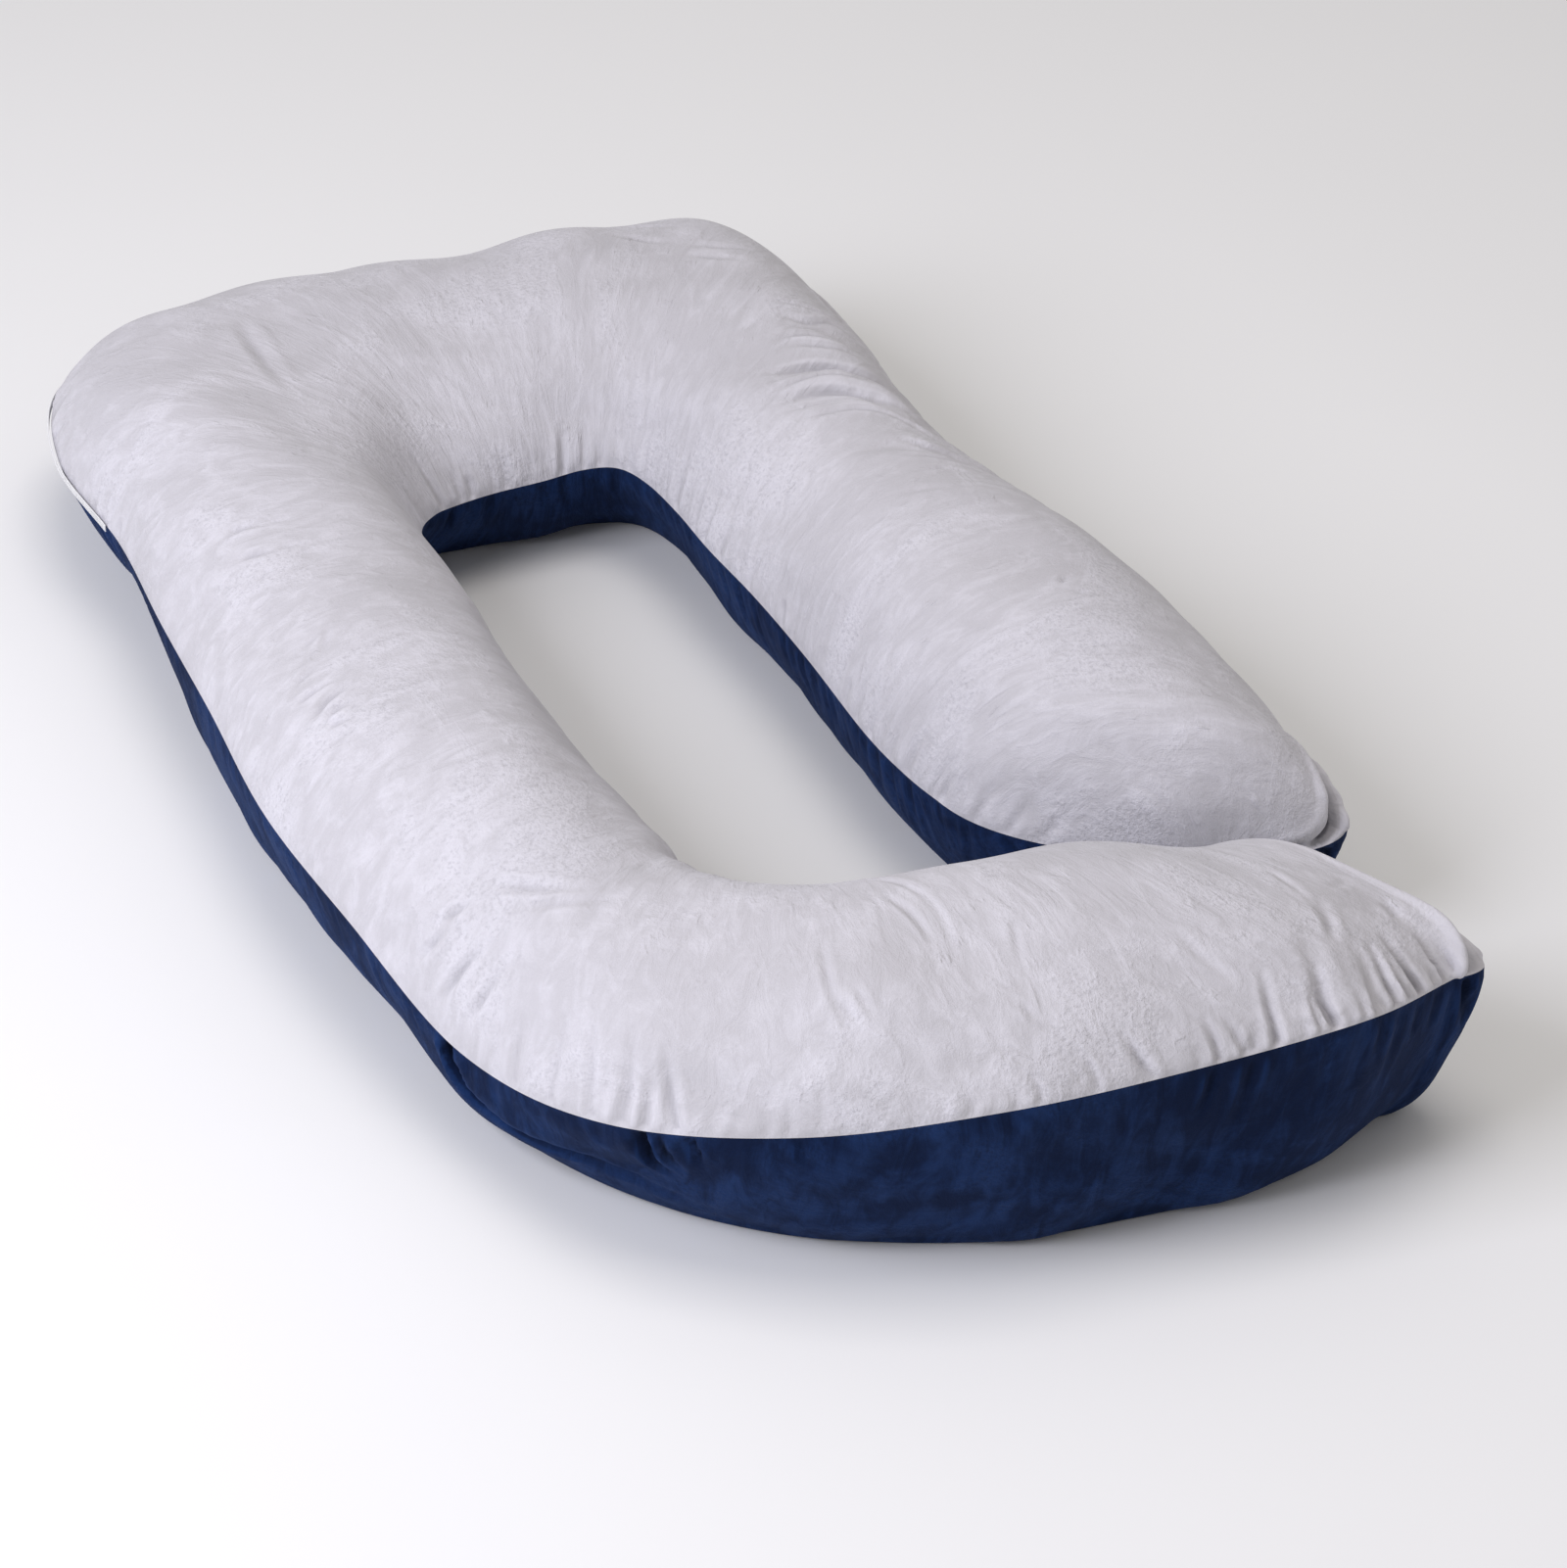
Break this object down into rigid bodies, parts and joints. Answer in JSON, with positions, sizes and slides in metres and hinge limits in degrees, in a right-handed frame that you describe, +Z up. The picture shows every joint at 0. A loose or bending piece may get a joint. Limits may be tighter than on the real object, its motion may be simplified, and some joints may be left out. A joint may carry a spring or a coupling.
{
  "type": "G-shaped pregnancy pillow",
  "caption": "Full body pregnancy pillow: a stuffed tube bent into a G, plush cover in two panels, pale grey above and navy below, closed by a zip in the seam.",
  "frame": {"origin": "middle of the pillow's footprint, on the surface that it lies on", "axes": "+Y towards the head, along the arms; +Z up, out of the grey panel; +X towards the far arm, the short one"},
  "size_m": [0.93, 1.7127, 0.2902],
  "materials": {
    "plush_grey": "short brushed plush, silver grey, soft sheen",
    "plush_navy": "short brushed plush, navy, soft sheen",
    "zip_white": "white woven tape with a white coil"
  },
  "bodies": {
    "root": {"top_panel": "plush_grey", "bottom_panel": "plush_navy", "zip": "zip_white"}
  },
  "joints": []
}
